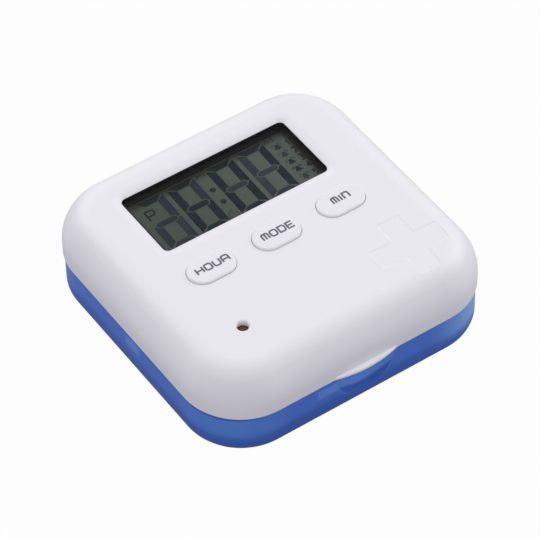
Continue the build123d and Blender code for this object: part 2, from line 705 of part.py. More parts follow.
def make_circuit_board():
    depth = BOARD_BACK - BOARD_FRONT
    middle = (BOARD_BACK + BOARD_FRONT) / 2
    board = slab(BOARD_W, depth, BOARD_R, BOARD_UNDER_Z, BOARD_Z, 0, middle)
    for x, y in board_screw_places():
        board -= disc(BOARD_SCREW_R + HOLE_CLEAR, BOARD_UNDER_Z, BOARD_Z, x, y)
    for side in (-1, 1):
        board -= disc(LED_LEG_HOLE_R, BOARD_UNDER_Z, BOARD_Z, LED_X + side * LED_LEG_PITCH, LED_Y)
    return board


def make_key_pads():
    pads = [disc(KEY_PAD_R, BOARD_Z, BOARD_Z + KEY_PAD_T, x, BUTTON_Y) for x in BUTTON_XS]
    return Compound(children=pads)


def make_button(x):
    top = TOP_Z + BUTTON_RISE
    flange_top = CEILING_Z - BUTTON_FLANGE_GAP
    flange_low = flange_top - BUTTON_FLANGE_T
    cap = slot_column(BUTTON_L, BUTTON_W, flange_low, top, x, BUTTON_Y)
    cap = fillet(cap.edges().group_by(Axis.Z)[-1], BUTTON_EDGE_R)
    spread = 2 * BUTTON_FLANGE
    cap += slot_column(BUTTON_L + spread, BUTTON_W + spread, flange_low, flange_top, x, BUTTON_Y)
    hollow_l = BUTTON_L - 2 * BUTTON_WALL
    hollow_w = BUTTON_W - 2 * BUTTON_WALL
    cap -= slot_column(hollow_l, hollow_w, flange_low, top - BUTTON_TOP_T, x, BUTTON_Y)
    return cap + disc(PLUNGER_R, PLUNGER_Z, top - BUTTON_TOP_T / 2, x, BUTTON_Y)


def make_dome(x):
    top = BOARD_Z + DOME_H
    under = top - DOME_TOP_T
    foot = BOARD_Z + DOME_FOOT_T
    profile = make_face(Polyline(
        (0, top),
        (DOME_TOP_R, top),
        (DOME_SHOULDER_R, foot),
        (DOME_FOOT_R, foot),
        (DOME_FOOT_R, BOARD_Z),
        (DOME_SHOULDER_R - DOME_WALL, BOARD_Z),
        (DOME_TOP_R - DOME_WALL, under),
        (0, under),
        close=True,
    ))
    return Pos(x, BUTTON_Y, 0) * revolve(Plane.XZ * profile, Axis.Z)


def make_pill(x):
    low = BOARD_Z + KEY_PAD_T + KEY_PAD_GAP + BUTTON_TRAVEL
    return disc(PILL_R, low, BOARD_Z + DOME_H - DOME_TOP_T, x, BUTTON_Y)


def make_led():
    body = disc(LED_R, BOARD_Z, BOARD_Z + LED_H, LED_X, LED_Y)
    body = fillet(body.edges().group_by(Axis.Z)[-1], LED_TOP_EDGE_R)
    return body + disc(LED_FLANGE_R, BOARD_Z, BOARD_Z + LED_FLANGE_T, LED_X, LED_Y)


def make_led_legs():
    low = BOARD_UNDER_Z - LED_LEG_DROP
    legs = []
    for side in (-1, 1):
        legs.append(block(LED_LEG_T, LED_LEG_T, low, BOARD_Z, LED_X + side * LED_LEG_PITCH, LED_Y))
    return Compound(children=legs)


def make_piezo_disc():
    return disc(PIEZO_R, PIEZO_Z, PIEZO_Z + PIEZO_T, PIEZO_X, PIEZO_Y)


def make_piezo_ceramic():
    low = PIEZO_Z + PIEZO_T
    return disc(CERAMIC_R, low, low + CERAMIC_T, PIEZO_X, PIEZO_Y)


def make_buzzer_lead(start_x, start_z, end_x):
    """A thin wire from the buzzer up to the underside of the board."""
    level = start_z + LEAD_RISE
    end_y = PIEZO_Y + PIEZO_R + 2 * PIEZO_RING_T
    route = FilletPolyline(
        (start_x, PIEZO_Y, start_z),
        (start_x, PIEZO_Y, level),
        (end_x, end_y, level),
        (end_x, end_y, BOARD_UNDER_Z),
        radius=LEAD_BEND_R,
    )
    section = Plane(origin=route @ 0, z_dir=route % 0) * Circle(LEAD_R)
    return sweep(section, path=route)


def make_lid_screws():
    screws = []
    for x, y in lid_screw_places():
        head = Pos(x, y, COVER_Z + LID_HEAD_T / 2) * Cone(LID_HEAD_R, LID_SCREW_R, LID_HEAD_T)
        screw = head + disc(LID_SCREW_R, COVER_Z + LID_HEAD_T, COVER_TOP_Z + LID_SCREW_BITE, x, y)
        screw -= block(2 * LID_SCREW_R, SLOT_T, COVER_Z, COVER_Z + SLOT_DEPTH, x, y)
        screw -= block(SLOT_T, 2 * LID_SCREW_R, COVER_Z, COVER_Z + SLOT_DEPTH, x, y)
        screws.append(screw)
    return Compound(children=screws)


def make_board_screws():
    screws = []
    low = BOARD_UNDER_Z - BOARD_HEAD_T
    for x, y in board_screw_places():
        screw = disc(BOARD_HEAD_R, low, BOARD_UNDER_Z, x, y)
        screw += disc(BOARD_SCREW_R, low, BOARD_Z + BOARD_SCREW_BITE, x, y)
        screw -= block(2 * BOARD_SCREW_R, SLOT_T, low, low + SLOT_DEPTH, x, y)
        screw -= block(SLOT_T, 2 * BOARD_SCREW_R, low, low + SLOT_DEPTH, x, y)
        screws.append(screw)
    return Compound(children=screws)


def make_chip_blob():
    """A cap of a ball, flat against the board."""
    ball_r = (CHIP_R ** 2 + CHIP_H ** 2) / (2 * CHIP_H)
    ball = Pos(CHIP_X, CHIP_Y, BOARD_UNDER_Z + ball_r - CHIP_H) * Sphere(ball_r)
    return ball & block(3 * CHIP_R, 3 * CHIP_R, BOARD_UNDER_Z - CHIP_H, BOARD_UNDER_Z, CHIP_X, CHIP_Y)


def make_crystal():
    z = BOARD_UNDER_Z - CRYSTAL_R - CRYSTAL_GAP
    can = Pos(CRYSTAL_X, CRYSTAL_Y, z) * Rot(0, 90, 0) * Cylinder(CRYSTAL_R, CRYSTAL_L)
    for side in (-1, 1):
        y = CRYSTAL_Y + side * CRYSTAL_R / 2
        end = CRYSTAL_X + CRYSTAL_L / 2
        leg = Pos(end + CRYSTAL_LEG_L / 2, y, z) * Rot(0, 90, 0) * Cylinder(CRYSTAL_LEG_R, CRYSTAL_LEG_L)
        can += leg + disc(CRYSTAL_LEG_R, z, BOARD_UNDER_Z, end + CRYSTAL_LEG_L, y)
    return can


def make_boost_coil():
    coil = disc(COIL_R, BOARD_UNDER_Z - COIL_H, BOARD_UNDER_Z, COIL_X, COIL_Y)
    waist = disc(COIL_R, BOARD_UNDER_Z - COIL_H * 0.8, BOARD_UNDER_Z - COIL_H * 0.2, COIL_X, COIL_Y)
    core = disc(COIL_R * 0.85, BOARD_UNDER_Z - COIL_H * 0.8, BOARD_UNDER_Z - COIL_H * 0.2, COIL_X, COIL_Y)
    return coil - (waist - core)


def make_small_parts(places, length, width, height):
    """Flat surface-mounted parts, one box at each place under the board."""
    boxes = [block(length, width, BOARD_UNDER_Z - height, BOARD_UNDER_Z, x, y) for x, y in places]
    return Compound(children=boxes)


def build():
    """Every sub-part by its node's name."""
    ceramic_top = PIEZO_Z + PIEZO_T + CERAMIC_T
    brass_top = PIEZO_Z + PIEZO_T
    brass_x = PIEZO_X + (PIEZO_R + CERAMIC_R) / 2
    parts = {
        "tray": make_tray(),
        "hinge_pin_left": make_hinge_pin(0),
        "hinge_pin_right": make_hinge_pin(1),
        "lid_shell": make_lid_shell(),
        "lid_inner_cover": make_inner_cover(),
        "lid_screws": make_lid_screws(),
        "display_lens": make_display_lens(),
        "lcd_front_polariser": make_front_polariser(),
        "lcd_front_glass": make_front_glass(),
        "lcd_rear_glass": make_rear_glass(),
        "lcd_reflector": make_reflector(),
        "lcd_frame": make_panel_frame(),
        "zebra_connector": make_zebra_connector(),
        "foam_strip": make_foam_strip(),
        "circuit_board": make_circuit_board(),
        "key_pads": make_key_pads(),
        "board_screws": make_board_screws(),
        "chip_blob": make_chip_blob(),
        "quartz_crystal": make_crystal(),
        "boost_coil": make_boost_coil(),
        "resistors": make_small_parts(RESISTOR_PLACES, CHIP_PART_L, CHIP_PART_W, RESISTOR_T),
        "capacitors": make_small_parts(CAPACITOR_PLACES, CHIP_PART_L, CHIP_PART_W, CAPACITOR_T),
        "transistors": make_small_parts(TRANSISTOR_PLACES, TRANSISTOR_L, TRANSISTOR_W, TRANSISTOR_T),
        "alarm_led": make_led(),
        "led_legs": make_led_legs(),
        "piezo_disc": make_piezo_disc(),
        "piezo_ceramic": make_piezo_ceramic(),
        "buzzer_lead_red": make_buzzer_lead(PIEZO_X, ceramic_top, PIEZO_X - LEAD_SPREAD / 2),
        "buzzer_lead_black": make_buzzer_lead(brass_x, brass_top, PIEZO_X + LEAD_SPREAD / 2),
        "coin_cell": make_coin_cell(),
        "battery_contact_negative": make_negative_contact(),
        "battery_contact_positive": make_positive_contact(),
        "battery_door": make_battery_door(),
    }
    for name, x in zip(BUTTON_NAMES, BUTTON_XS):
        parts[name + "_button"] = make_button(x)
        parts[name + "_dome"] = make_dome(x)
        parts[name + "_contact_pill"] = make_pill(x)
    return parts


os.makedirs("parts", exist_ok=True)
for node, shape in build().items():
    export_step(shape, f"parts/{node}.step")
    print(node, "written")
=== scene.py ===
# %% [markdown]
# # An electronic pill box
# A blue tray holds the pills and a white lid with a clock closes it. The solids come from the
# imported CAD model, which this script loads as a fixed frame. Here they get their finishes, and
# the display's figures, the words on the buttons and the soft domes are made as new surfaces.
# Everything is in metres, with +Z up and +Y towards the hinge.

# %% Load the frame
import json
import math
import bpy
import numpy as np
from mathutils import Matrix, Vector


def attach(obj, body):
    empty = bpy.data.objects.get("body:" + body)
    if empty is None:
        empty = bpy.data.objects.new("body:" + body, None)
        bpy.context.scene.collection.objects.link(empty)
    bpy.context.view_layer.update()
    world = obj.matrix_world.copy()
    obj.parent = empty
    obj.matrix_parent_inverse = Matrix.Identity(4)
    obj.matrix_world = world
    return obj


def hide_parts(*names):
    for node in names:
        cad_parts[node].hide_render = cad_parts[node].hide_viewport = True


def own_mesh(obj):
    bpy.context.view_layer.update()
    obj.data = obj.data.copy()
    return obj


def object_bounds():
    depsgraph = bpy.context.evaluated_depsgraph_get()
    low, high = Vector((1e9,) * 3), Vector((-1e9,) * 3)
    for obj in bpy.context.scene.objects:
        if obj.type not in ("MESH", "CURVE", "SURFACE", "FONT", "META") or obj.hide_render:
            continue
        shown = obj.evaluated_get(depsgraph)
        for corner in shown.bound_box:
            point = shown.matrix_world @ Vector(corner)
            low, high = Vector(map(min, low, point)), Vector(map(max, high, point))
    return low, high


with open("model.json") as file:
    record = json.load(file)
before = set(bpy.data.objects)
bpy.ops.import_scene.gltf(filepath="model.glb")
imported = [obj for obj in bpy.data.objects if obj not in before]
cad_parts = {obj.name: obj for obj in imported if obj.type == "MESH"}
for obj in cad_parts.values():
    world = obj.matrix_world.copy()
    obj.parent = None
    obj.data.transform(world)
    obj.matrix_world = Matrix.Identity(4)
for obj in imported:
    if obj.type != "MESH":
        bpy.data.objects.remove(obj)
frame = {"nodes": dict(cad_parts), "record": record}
CAD_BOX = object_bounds()
NODES = frame["nodes"]
MM = 0.001

# %% [markdown]
# ## Camera
# The photograph was taken with a long lens from the front left, about 47 degrees above the
# table. The position and the three directions come from fitting the box's outline, window and
# buttons to the picture, so the render lies over the photograph.

# %% Camera
from mathutils import Matrix, Vector

EYE = (-0.3140, -0.4713, 0.6277)
RIGHT = (0.8229, -0.5680, -0.0147)
UP = (0.4268, 0.6008, 0.6759)
BACK = (-0.3751, -0.5625, 0.7368)


def place_camera():
    """The camera looks along minus BACK, with RIGHT and UP as the picture's own axes."""
    data = bpy.data.cameras.new("photo_camera")
    data.sensor_width = 36.0
    data.lens = 218.4
    data.clip_start = 0.05
    data.clip_end = 20.0
    camera = bpy.data.objects.new("photo_camera", data)
    bpy.context.scene.collection.objects.link(camera)
    turn = Matrix((RIGHT, UP, BACK)).transposed()
    camera.matrix_world = Matrix.Translation(Vector(EYE)) @ turn.to_4x4()
    bpy.context.scene.camera = camera
    return camera


camera = place_camera()
print("camera", tuple(round(v, 3) for v in camera.location), "lens", camera.data.lens)

# %% [markdown]
# ## Maths on wires
# A material is a net of small boxes, and sums on it are easier to read as Python. `Wire` holds
# one output and turns `+ - *` into Math nodes, also where the number stands first, as in
# `1 - mask`. `Finish` owns a material, and its `node` method adds any other kind of node, with
# its settings first and its inputs after.


# %% Wires and finishes
class Wire:
    """A number carried between nodes; sums on it add Math nodes."""

    def __init__(self, finish, socket):
        self.finish = finish
        self.socket = socket

    def sum(self, operation, first, second=0.0):
        sockets = {0: first, 1: second}
        return self.finish.node("ShaderNodeMath", {"operation": operation}, sockets)

    def of(self, operation):
        """A function of this number alone, such as SINE, SQRT or ABSOLUTE."""
        return self.sum(operation, self)

    def or_more(self, other):
        """The larger of this number and the other."""
        return self.sum("MAXIMUM", self, other)

    def __add__(self, other):
        return self.sum("ADD", self, other)

    def __radd__(self, other):
        return self.sum("ADD", other, self)

    def __sub__(self, other):
        return self.sum("SUBTRACT", self, other)

    def __rsub__(self, other):
        return self.sum("SUBTRACT", other, self)

    def __mul__(self, other):
        return self.sum("MULTIPLY", self, other)

    def __rmul__(self, other):
        return self.sum("MULTIPLY", other, self)

    def step(self, low, high):
        """0 below low, 1 above high, and an even climb between them."""
        sockets = {"Value": self, "From Min": low, "From Max": high}
        return self.finish.node("ShaderNodeMapRange", {"clamp": True}, sockets)


class Finish:
    """One material: a Principled shader whose varying inputs are fed by nodes."""

    def __init__(self, name, colour=(0.8, 0.8, 0.8), roughness=0.5, **fixed):
        self.material = bpy.data.materials.new(name)
        self.material.use_nodes = True
        self.tree = self.material.node_tree
        self.shader = self.tree.nodes["Principled BSDF"]
        self.out = self.tree.nodes["Material Output"]
        self.set("Base Color", (*colour, 1.0))
        self.set("Roughness", roughness)
        for key, value in fixed.items():
            self.set(key.replace("_", " "), value)

    def feed(self, socket, value):
        if isinstance(value, Wire):
            self.tree.links.new(value.socket, socket)
        else:
            socket.default_value = value

    def set(self, name, value):
        self.feed(self.shader.inputs[name], value)

    def node(self, kind, settings=None, sockets=None, out=0):
        """Adds a node of any type. Settings are set first; `stops` fills a colour ramp."""
        made = self.tree.nodes.new(kind)
        for key, value in (settings or {}).items():
            if key == "stops":
                while len(made.color_ramp.elements) < len(value):
                    made.color_ramp.elements.new(0.5)
                for element, (place, colour) in zip(made.color_ramp.elements, value):
                    element.position = place
                    element.color = (*colour, 1.0)
            else:
                setattr(made, key, value)
        for key, value in (sockets or {}).items():
            self.feed(made.inputs[key], value)
        return Wire(self, made.outputs[out])

    def where(self):
        """The point on the piece, in metres, as a vector."""
        return self.node("ShaderNodeTexCoord", out="Object")

    def axes(self):
        """The point's X, Y and Z as three wires."""
        split = self.node("ShaderNodeSeparateXYZ", None, {0: self.where()}).socket.node
        return [Wire(self, split.outputs[i]) for i in range(3)]

    def stretched(self, along, across):
        """The point, with its axes scaled so that a pattern runs in one direction."""
        scale = (along, across, across)
        return self.node("ShaderNodeMapping", None, {"Vector": self.where(), "Scale": scale})

    def noise(self, per_metre, detail=2.0, rough=0.5, vector=None):
        """Soft random spots, about per_metre of them in a metre; even at 0.5."""
        sockets = {"Vector": vector or self.where(), "Scale": per_metre}
        sockets.update({"Detail": detail, "Roughness": rough})
        return self.node("ShaderNodeTexNoise", None, sockets)

    def mix(self, factor, first, second):
        """A colour between first and second."""
        node = self.node("ShaderNodeMix", {"data_type": "RGBA"}).socket.node
        for index, value in ((0, factor), (6, _rgba(first)), (7, _rgba(second))):
            self.feed(node.inputs[index], value)
        return Wire(self, node.outputs[2])

    def blend(self, factor, first, second):
        """The surface is the shader first where factor is 0 and the shader second where it is 1."""
        node = self.node("ShaderNodeMixShader", None, {0: factor}).socket.node
        self.tree.links.new(first, node.inputs[1])
        self.tree.links.new(second, node.inputs[2])
        self.tree.links.new(node.outputs[0], self.out.inputs["Surface"])

    def bump(self, height, depth):
        """Raises the surface by depth metres where height is 1."""
        sockets = {"Height": height, "Distance": depth, "Strength": 1.0}
        self.set("Normal", self.node("ShaderNodeBump", None, sockets))


def _rgba(colour):
    return colour if isinstance(colour, Wire) or len(colour) == 4 else (*colour, 1.0)


def length(*parts):
    """How far a step goes whose parts are these wires: the root of the sum of their squares."""
    squares = parts[0] * parts[0]
    for part in parts[1:]:
        squares = squares + part * part
    return squares.of("SQRT")


def shade(colour, factor):
    """The same hue, lighter or darker by a factor."""
    return tuple(min(1.0, c * factor) for c in colour)


print("helpers ready")

# %% [markdown]
# ## Moulded plastic
# A moulded shell is never one flat colour. The steel mould was eroded with sparks, so the skin
# has a fine grain that softens its gloss, and the plastic flows to slightly different shades.
# Both are noise in the piece's own metres, so the grain has its true size: about 0.15 mm. Where
# the lid's wall is thin and lit from behind, on the finger lip and in the light hole, it is paler.

# %% Plastics
LID_WHITE = (0.80, 0.795, 0.83)
LID_PALE = (0.91, 0.905, 0.945)
BLACK = (0.012, 0.012, 0.013)
LIGHT_AT = 0.0242  # the light hole lies this far to the left of the middle, and in front of it


def moulded(name, colour, roughness, grain=0.000004, drift=0.03, **fixed):
    """Colour drifts by a few percent over centimetres; roughness and height follow the fine grain."""
    finish = Finish(name, colour, roughness, **fixed)
    cloud = finish.noise(45.0, 2.0)
    finish.set("Base Color", finish.mix(cloud, shade(colour, 1 - drift), shade(colour, 1 + drift)))
    fine = finish.noise(6500.0, 2.0, 0.6)
    finish.set("Roughness", (fine - 0.5) * 0.12 + roughness)
    finish.bump(fine, grain)
    return finish


def lid_white():
    """The lid's white, paler on the finger lip and in the light hole, where light comes through."""
    finish = moulded("lid_white", LID_WHITE, 0.42, 0.000005, 0.012)
    x, y, z = finish.axes()
    lip = 1 - y.step(-0.0427, -0.0425)
    near = 1 - length(x + LIGHT_AT, y + LIGHT_AT).step(0.00162, 0.00166)
    hole = near * z.step(0.0235, 0.0240)
    body = Wire(finish, finish.shader.inputs["Base Color"].links[0].from_socket)
    finish.set("Base Color", finish.mix(lip.or_more(hole), body, LID_PALE))
    return finish


FINISHES = {}
FINISHES["lid_white"] = lid_white()
FINISHES["cover_white"] = moulded("cover_white", (0.78, 0.78, 0.81), 0.45, 0.000005, 0.015)
FINISHES["button_white"] = moulded("button_white", LID_WHITE, 0.36, 0.000003, 0.01)
FINISHES["frame_black"] = moulded("frame_black", BLACK, 0.6, 0.000004, 0.1)
FINISHES["part_black"] = moulded("part_black", (0.02, 0.02, 0.021), 0.5, 0.000004, 0.1)
FINISHES["part_tan"] = moulded("part_tan", (0.42, 0.28, 0.15), 0.4, 0.000003, 0.08)
FINISHES["epoxy_black"] = moulded("epoxy_black", BLACK, 0.12, 0.000002, 0.1)
FINISHES["carbon_print"] = moulded("carbon_print", (0.02, 0.02, 0.02), 0.7, 0.000006, 0.15)
FINISHES["ceramic_white"] = moulded("ceramic_white", (0.7, 0.69, 0.64), 0.35, 0.000002, 0.03)
print("plastics", len(FINISHES))

# %% [markdown]
# ## Blue tray
# The tray is tinted polypropylene, a little see-through. Where something white hangs behind the
# wall, the colour is painted paler, as light coming through: the lid's rim in the upper half,
# and the two tabs. Light that comes in at one side of a round corner leaves at the other, so
# the corners get a painted glow, most at the right. The finger scoop is a dent that a ball would
# leave, so the distance to the ball's middle says where it is: its wall has painted light in the
# upper part, painted shade in the lower, and a thin painted highlight along its rim. A dark
# line painted along the top of the left wall stands for the lid's shadow.

# %% Blue tray
SCOOP_BALL = 0.01289
SCOOP_Y = -0.05179
SCOOP_Z = 0.01305
DEEP_BLUE = (0.040, 0.134, 0.57)
UPPER_BLUE = (0.070, 0.204, 0.74)
CLOUD_BLUE = (0.08, 0.23, 0.78)


def band(wire, low, high, soft=0.0003):
    """1 between low and high, with soft ends."""
    return wire.step(low - soft, low + soft) * (1 - wire.step(high - soft, high + soft))


def tray_blue():
    """Frosted blue; each mask is 0 to 1 over the wall and mixes in one paler or darker blue."""
    finish = Finish("tray_blue", (0.06, 0.22, 0.8), 0.3, Transmission_Weight=0.12, IOR=1.45)
    finish.set("Specular IOR Level", 0.3)
    x, y, z = finish.axes()
    cloud = finish.noise(60.0, 2.0)
    # painted light: the upper part is paler, as light through the wall from the white rim behind
    upper = z.step(0.0054, 0.0086)
    above_foot = z.step(0.0045, 0.0075)
    around = x.of("ABSOLUTE") + y.of("ABSOLUTE")
    # painted glow in the round corners, strongest at the right, as light passing through them
    corner = around.step(0.064, 0.076) * above_foot
    right = around.step(0.058, 0.068) * above_foot * x.step(0.018, 0.042)
    # painted glow where the white tabs hang behind the wall
    painted_tab_glow = band(x, -0.0143, -0.0080) * (1 - y.step(-0.040, -0.038))
    painted_tab_glow = painted_tab_glow + band(y, -0.0046, 0.0018) * (1 - x.step(-0.040, -0.038))
    # painted scoop shading: painted shade over the whole dent, painted light on its upper part
    from_ball = length(x, y - SCOOP_Y, z - SCOOP_Z)
    painted_scoop_shade = 1 - from_ball.step(SCOOP_BALL + 0.00003, SCOOP_BALL + 0.00009)
    painted_scoop_light = painted_scoop_shade * (z - x * x * 55).step(0.0060, 0.0068)
    # painted highlight in a thin line just outside the scoop's edge
    rim = band(from_ball, SCOOP_BALL + 0.00016, SCOOP_BALL + 0.00046, 0.00008)
    rim = rim * (1 - y.step(-0.0420, -0.0416)) * z.step(0.004, 0.006)
    # painted shadow of the lid's edge: a dark line along the top of the left wall
    painted_lid_shadow = z.step(0.0125, 0.0130) * (1 - x.step(-0.038, -0.026))
    blue = finish.mix(upper, DEEP_BLUE, UPPER_BLUE)
    blue = finish.mix(cloud * 0.2, blue, CLOUD_BLUE)
    blue = finish.mix(corner * (x.step(0.02, 0.04) * 0.45 + 0.45), blue, (0.13, 0.35, 0.84))
    blue = finish.mix(right * 0.8, blue, (0.32, 0.60, 1.0))
    blue = finish.mix(painted_scoop_shade * 0.8, blue, (0.034, 0.116, 0.52))
    blue = finish.mix(painted_scoop_light * 0.8, blue, (0.145, 0.385, 0.94))
    blue = finish.mix(rim * 0.25, blue, (0.13, 0.34, 0.9))
    blue = finish.mix(painted_tab_glow * band(z, 0.0092, 0.0122) * 0.5, blue, (0.17, 0.42, 0.96))
    blue = finish.mix(band(z, 0.0058, 0.0063) * 0.15, blue, (0.012, 0.05, 0.35))
    blue = finish.mix(painted_lid_shadow * 0.5, blue, (0.004, 0.010, 0.10))
    finish.set("Base Color", blue)
    fine = finish.noise(5200.0, 2.0)
    finish.set("Roughness", (fine - 0.5) * 0.1 + 0.34)
    finish.bump(fine, 0.000003)
    return finish


FINISHES["tray_blue"] = tray_blue()
print("tray finish ready")

# %% [markdown]
# ## Window, film and glass
# The lens over the display is clear acrylic. A thin clear sheet is best drawn as see-through
# with a faint gloss on top: true refraction would only add noise to the display below. The
# film on the display is what gives it its grey-green colour, with faint greener and purpler
# bands where the sheets are not quite parallel.

# %% Clear and film finishes
FILM = (0.165, 0.198, 0.156)
FRAME_SHADE = (0.010, 0.011, 0.010)


def clear_lens():
    """Lets the display show straight through, with a weak mirror of the room; its sides are black."""
    finish = Finish("lens_clear", (0.01, 0.01, 0.01), 0.05)
    thin = finish.node("ShaderNodeBsdfTransparent", None, {"Color": (0.97, 0.98, 0.975, 1.0)})
    smear = finish.noise(90.0, 3.0).step(0.35, 0.75) * 0.05 + 0.06
    finish.set("Roughness", smear)
    edge = finish.node("ShaderNodeLayerWeight", None, {"Blend": 0.12}, out="Facing")
    facing = finish.node("ShaderNodeTexCoord", out="Normal")
    upright = finish.node("ShaderNodeSeparateXYZ", None, {0: facing}, out=2)
    side = 1 - upright.of("ABSOLUTE").step(0.4, 0.6)
    finish.blend(side.or_more(edge * 0.8 + 0.1), thin.socket, finish.shader.outputs[0])
    return finish


def frame_shadow(finish):
    """From 0 to 1 towards the top and the right end, where the deep dark frame shades the film."""
    x, y, _ = finish.axes()
    top = y.step(0.0250, 0.0290)
    end = x.step(0.0220, 0.0243)
    return 1 - (1 - top) * (1 - end)


def display_film():
    """Grey-green film; a slow wave tints it towards green and purple, and it is paler at the right."""
    finish = Finish("lcd_film", FILM, 0.4, Specular_IOR_Level=0.2)
    x, y, _ = finish.axes()
    wave = ((x + y * 0.15) * 640.0 + 1.4).of("SINE") * 0.5 + 0.5
    cloud = finish.noise(140.0, 2.0)
    tint = finish.mix(wave, (0.148, 0.190, 0.150), (0.182, 0.192, 0.160))
    lit = finish.mix(cloud * 0.5, shade(FILM, 0.9), tint)
    at_left = finish.mix(0.10, lit, (0, 0, 0))
    at_right = finish.mix(0.045, lit, (0.9, 1, 0.9))
    lit = finish.mix(x.step(-0.017, 0.014), at_left, at_right)
    finish.set("Base Color", finish.mix(frame_shadow(finish), lit, FRAME_SHADE))
    fine = finish.noise(5000.0, 1.0)
    finish.bump(fine, 0.000002)
    return finish


def silver_film():
    """The reflector behind the display: a pale satin mirror with a fine sparkle."""
    finish = Finish("lcd_silver", (0.55, 0.58, 0.5), 0.3, Metallic=0.6)
    grain = finish.noise(4000.0, 2.0)
    finish.set("Base Color", finish.mix(grain, (0.5, 0.53, 0.45), (0.6, 0.62, 0.55)))
    finish.set("Roughness", grain * 0.2 + 0.2)
    return finish


def thin_glass():
    """Clear glass, drawn as a faint tint that lets the rest through."""
    finish = Finish("lcd_glass", (0.7, 0.78, 0.74), 0.05)
    smear = finish.noise(120.0, 2.0)
    finish.set("Alpha", smear * 0.06 + 0.2)
    finish.set("Roughness", smear * 0.05 + 0.02)
    return finish


FINISHES["lens_clear"] = clear_lens()
FINISHES["lcd_film"] = display_film()
FINISHES["lcd_silver"] = silver_film()
FINISHES["lcd_glass"] = thin_glass()
print("display finishes ready")

# %% [markdown]
# ## Metals
# Turned and drawn steel shows fine lines along the way it was worked. Noise that is stretched
# along one axis gives those lines, and they vary the gloss more than the colour.


# %% Metals
def worked_metal(name, colour, roughness, along=400.0, across=9000.0, lines=0.25):
    """Stretched noise changes the roughness by lines and lifts the surface by a micron."""
    finish = Finish(name, colour, roughness, Metallic=1.0)
    streak = finish.noise(1.0, 3.0, 0.6, finish.stretched(along, across))
    finish.set("Roughness", (streak - 0.5) * lines + roughness)
    dull = finish.noise(250.0, 2.0).step(0.45, 0.8)
    finish.set("Base Color", finish.mix(dull * 0.5, colour, shade(colour, 0.8)))
    finish.bump(streak, 0.000001)
    return finish


METALS = {
    "screw_steel": ((0.62, 0.62, 0.64), 0.32),
    "pin_steel": ((0.66, 0.66, 0.68), 0.2),
    "can_steel": ((0.68, 0.68, 0.70), 0.28),
    "lead_tin": ((0.72, 0.72, 0.72), 0.35),
    "piezo_brass": ((0.78, 0.58, 0.24), 0.26),
    "cell_steel": ((0.70, 0.70, 0.71), 0.3),
    "contact_steel": ((0.74, 0.72, 0.67), 0.24),
}
for slot_name, (colour, roughness) in METALS.items():
    FINISHES[slot_name] = worked_metal(slot_name, colour, roughness)
print("metals", len(METALS))

# %% [markdown]
# ## Rubber, foam, board and light
# Silicone is soft and slightly see-through, foam has cells, the board has copper tracks under
# its green mask, and the light's epoxy is amber and lets light through.


# %% Soft finishes
def soft(name, colour, roughness, per_metre, height, through=0.0):
    """A matt rubber: spots of per_metre in a metre change the shade and the height."""
    finish = Finish(name, colour, roughness)
    cells = finish.noise(per_metre, 2.0, 0.6)
    finish.set("Base Color", finish.mix(cells, shade(colour, 0.88), shade(colour, 1.1)))
    finish.set("Roughness", (cells - 0.5) * 0.2 + roughness)
    finish.bump(cells, height)
    if through:
        finish.set("Subsurface Weight", through)
        finish.set("Subsurface Radius", (0.001, 0.001, 0.001))
    return finish


def foam_black():
    """Open foam: round cells, dark inside, from a cell pattern."""
    finish = Finish("foam_black", (0.03, 0.03, 0.03), 0.9)
    cells = finish.node("ShaderNodeTexVoronoi", None, {"Vector": finish.where(), "Scale": 2600.0})
    finish.set("Base Color", finish.mix(cells, (0.01, 0.01, 0.01), (0.05, 0.05, 0.05)))
    finish.bump(cells, 0.00008)
    return finish


def layered_silicone():
    """The zebra strip: hundreds of thin carbon layers between pink silicone ones."""
    finish = Finish("silicone_pink", (0.6, 0.3, 0.3), 0.5)
    stripe = (finish.axes()[0] * 9000.0).of("SINE").step(-0.2, 0.2)
    finish.set("Base Color", finish.mix(stripe, (0.03, 0.03, 0.03), (0.62, 0.33, 0.33)))
    finish.set("Roughness", stripe * 0.1 + 0.45)
    return finish


def board_green():
    """Green mask over copper: straight-edged cells stand slightly proud, as tracks do."""
    finish = Finish("board_green", (0.02, 0.14, 0.05), 0.35)
    sockets = {"Vector": finish.where(), "Scale": 420.0}
    cells = finish.node("ShaderNodeTexVoronoi", {"distance": "CHEBYCHEV"}, sockets)
    track = cells.step(0.42, 0.5)
    finish.set("Base Color", finish.mix(track, (0.012, 0.10, 0.035), (0.03, 0.20, 0.075)))
    weave = finish.noise(3500.0, 1.0)
    finish.set("Roughness", weave * 0.12 + 0.26)
    finish.bump(track * 0.7 + weave * 0.3, 0.00002)
    return finish


def led_amber():
    """Amber epoxy, a little cloudy: the middle is bright amber, and the rim has painted shade, as in a
    deep hole.
    """
    finish = Finish("led_amber", (0.34, 0.10, 0.01), 0.12, Transmission_Weight=0.2, IOR=1.5)
    finish.set("Specular IOR Level", 0.25)
    x, y, _ = finish.axes()
    cloud = finish.noise(1500.0, 2.0)
    # painted shade: the rim darkens, as the deep hole's wall would shade it
    rim = length(x + LIGHT_AT, y + LIGHT_AT).step(0.0006, 0.0014)
    amber = finish.mix(cloud, (0.13, 0.034, 0.002), (0.26, 0.080, 0.003))
    finish.set("Base Color", finish.mix(rim, amber, (0.028, 0.008, 0.002)))
    finish.set("Roughness", cloud * 0.1 + 0.08)
    return finish


def coil_dark():
    """Ferrite and copper: fine turns wound round the waist, black ends."""
    finish = Finish("coil_dark", (0.05, 0.05, 0.05), 0.4)
    z = finish.axes()[2]
    turns = (z * 18000.0).of("SINE") * 0.5 + 0.5
    waist = z.step(0.0179, 0.0181) * (1 - z.step(0.0197, 0.0199))
    copper = finish.mix(turns, (0.22, 0.07, 0.02), (0.62, 0.27, 0.10))
    finish.set("Base Color", finish.mix(waist, (0.03, 0.03, 0.032), copper))
    finish.set("Roughness", 0.55 - waist * 0.25)
    finish.bump(turns * waist, 0.00004)
    return finish


